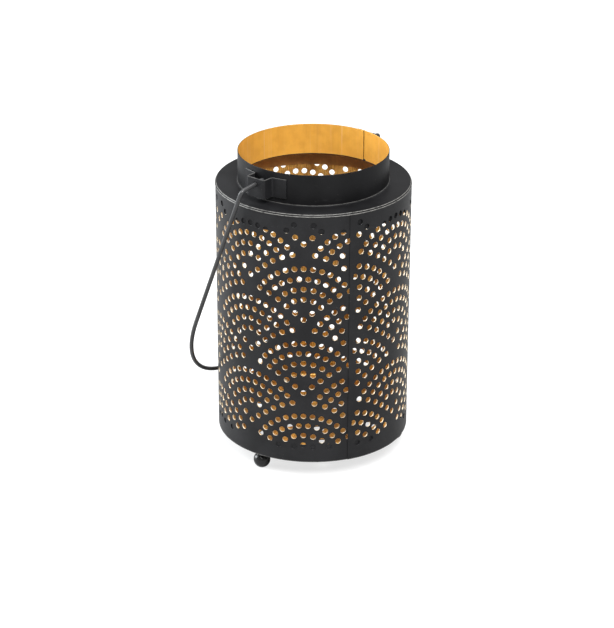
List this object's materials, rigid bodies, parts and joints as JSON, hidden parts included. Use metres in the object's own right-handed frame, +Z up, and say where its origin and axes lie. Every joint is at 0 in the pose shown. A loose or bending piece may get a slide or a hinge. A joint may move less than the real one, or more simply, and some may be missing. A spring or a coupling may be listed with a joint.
{
  "type": "candle lantern",
  "caption": "Round black metal candle lantern with a punched fan pattern, an open gold-lined neck, ball feet and a swinging wire bail.",
  "frame": {"origin": "on the table, under the axis of the round body", "axes": "+Z up along the body's axis, X along the bail's hinge line with the pictured ear at -X, and the resting bail leaning to +Y"},
  "size_m": [0.1554, 0.1433, 0.2274],
  "materials": {
    "black_sheet": "satin black lacquer outside, gold lacquer inside",
    "black_foot": "semi-gloss black lacquer",
    "black_wire": "satin black lacquer",
    "screw_steel": "zinc plated"
  },
  "bodies": {
    "lantern": {"body_shell": "black_sheet", "shoulder_cap": "black_sheet", "neck_collar": "black_sheet", "base_pan": "black_sheet", "foot_1": "black_foot", "foot_2": "black_foot", "foot_3": "black_foot", "foot_screws": "screw_steel", "ear_left": "black_sheet", "ear_right": "black_sheet"},
    "bail": {"bail": "black_wire"}
  },
  "joints": [
    {"name": "bail_swing", "type": "hinge", "parent": "lantern", "child": "bail", "pos_m": [0, 0, 0.219], "axis": [1, 0, 0], "range_deg": [0, 316]}
  ]
}
